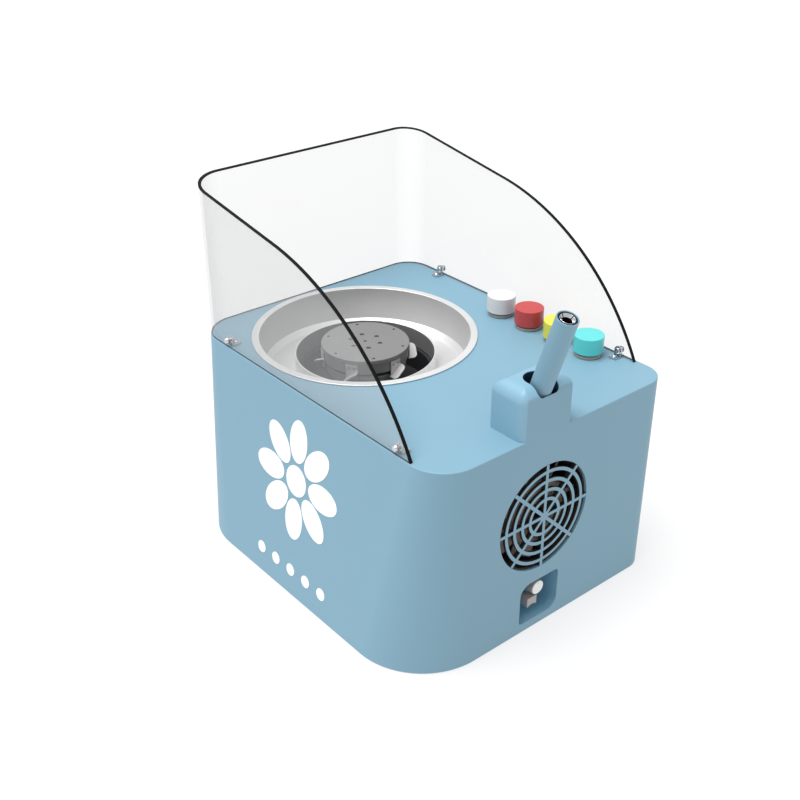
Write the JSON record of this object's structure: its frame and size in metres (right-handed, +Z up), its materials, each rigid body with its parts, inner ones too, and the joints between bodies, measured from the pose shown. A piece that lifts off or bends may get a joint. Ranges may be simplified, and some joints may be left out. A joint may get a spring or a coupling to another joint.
{
  "type": "candy floss machine",
  "caption": "Tabletop candy floss machine with a spinning heater head in a round pan, sugar buttons, hand-held stick spinner and clear wrap-around shield.",
  "frame": {"origin": "bottom centre of the whole object on the table, mid-width of the base and midway between the rear wall and the wand's foremost edge", "axes": "+X to the right seen from the front, +Y from the front (fan and wand) to the rear, +Z up"},
  "size_m": [0.3299, 0.4138, 0.39],
  "materials": {
    "body_blue": "satin moulded plastic",
    "recess_blue": "satin moulded plastic in shade",
    "pocket_blue": "satin dark liner",
    "dark_metal": "heat-resistant dark coating",
    "foot_rubber": "matt",
    "pan_aluminium": "satin spun",
    "zinc_steel": "zinc plated",
    "case_aluminium": "brushed",
    "black_plastic": "moulded",
    "head_metal": "satin machined",
    "bright_steel": "polished",
    "brass": "turned",
    "rotor_plastic": "moulded",
    "knob_white": "moulded",
    "grey_plastic": "moulded",
    "collar_metal": "satin",
    "white_cap": "moulded",
    "red_cap": "moulded",
    "yellow_cap": "moulded",
    "cyan_cap": "moulded",
    "circuit_board": "solder mask",
    "clear_acrylic": "clear polished sheet"
  },
  "bodies": {
    "root": {"body_shell": "body_blue", "fan_grille": "body_blue", "recess_tub": "recess_blue", "wand_sleeve": "pocket_blue", "base_plate": "dark_metal", "heater_well": "dark_metal", "foot_left_front": "foot_rubber", "foot_left_rear": "foot_rubber", "foot_right_front": "foot_rubber", "foot_right_rear": "foot_rubber", "drive_motor": "zinc_steel", "motor_bracket": "zinc_steel", "potentiometer": "zinc_steel", "power_supply": "case_aluminium", "brush_holder": "black_plastic", "fan_frame": "black_plastic", "power_inlet": "black_plastic", "knob_bracket": "grey_plastic", "white_collar": "collar_metal", "red_collar": "collar_metal", "yellow_collar": "collar_metal", "cyan_collar": "collar_metal", "wind_shield": "clear_acrylic", "bracket_left_rear": "bright_steel", "bolt_left_rear": "bright_steel", "bracket_left_front": "bright_steel", "bolt_left_front": "bright_steel", "bracket_right_rear": "bright_steel", "bolt_right_rear": "bright_steel", "bracket_right_front": "bright_steel", "bolt_right_front": "bright_steel", "control_board": "circuit_board"},
    "spinner": {"head_plate": "head_metal", "head_drum": "head_metal", "heater_ring": "dark_metal", "head_base": "head_metal", "drive_shaft": "bright_steel", "slip_rings": "brass", "head_blade_1": "head_metal", "head_blade_2": "head_metal", "head_blade_3": "head_metal", "head_blade_4": "head_metal", "head_blade_5": "head_metal", "head_blade_6": "head_metal"},
    "pan": {"pan_bowl": "pan_aluminium"},
    "rotor": {"fan_rotor": "rotor_plastic"},
    "knob": {"speed_knob": "knob_white"},
    "rocker": {"power_rocker": "black_plastic"},
    "wand": {"wand_tube": "body_blue", "wand_tail_cap": "body_blue", "wand_battery": "grey_plastic", "wand_motor": "zinc_steel", "collet_ring": "black_plastic"},
    "chuck": {"collet": "bright_steel"},
    "white_button": {"white_cap": "white_cap"},
    "red_button": {"red_cap": "red_cap"},
    "yellow_button": {"yellow_cap": "yellow_cap"},
    "cyan_button": {"cyan_cap": "cyan_cap"}
  },
  "joints": [
    {"name": "head_spin", "type": "hinge", "parent": "root", "child": "spinner", "pos_m": [-0.006, 0.08296, 0.2], "axis": [0, 0, 1], "continuous": true},
    {"name": "fan_spin", "type": "hinge", "parent": "root", "child": "rotor", "pos_m": [-0.002, -0.16804, 0.131], "axis": [0, -1, 0], "continuous": true},
    {"name": "pan_lift", "type": "slide", "parent": "root", "child": "pan", "axis": [0, 0, 1], "range_m": [0, 0.1]},
    {"name": "knob_turn", "type": "hinge", "parent": "root", "child": "knob", "pos_m": [0.0016, -0.16804, 0.0412], "axis": [0, -1, 0], "range_deg": [0, 270]},
    {"name": "power_rock", "type": "hinge", "parent": "root", "child": "rocker", "pos_m": [0.109, 0.20295, 0.045], "axis": [1, 0, 0], "range_deg": [0, 14]},
    {"name": "wand_lift", "type": "slide", "parent": "root", "child": "wand", "axis": [0, -0.309, 0.9511], "range_m": [0, 0.12]},
    {"name": "chuck_spin", "type": "hinge", "parent": "wand", "child": "chuck", "pos_m": [-0.0073, -0.19714, 0.3444], "axis": [0, -0.309, 0.9511], "continuous": true},
    {"name": "white_press", "type": "slide", "parent": "root", "child": "white_button", "axis": [0, 0, -1], "range_m": [0, 0.0035], "stiffness_N_per_m": 500, "springref_m": -0.002},
    {"name": "red_press", "type": "slide", "parent": "root", "child": "red_button", "axis": [0, 0, -1], "range_m": [0, 0.0035], "stiffness_N_per_m": 500, "springref_m": -0.002},
    {"name": "yellow_press", "type": "slide", "parent": "root", "child": "yellow_button", "axis": [0, 0, -1], "range_m": [0, 0.0035], "stiffness_N_per_m": 500, "springref_m": -0.002},
    {"name": "cyan_press", "type": "slide", "parent": "root", "child": "cyan_button", "axis": [0, 0, -1], "range_m": [0, 0.0035], "stiffness_N_per_m": 500, "springref_m": -0.002}
  ]
}
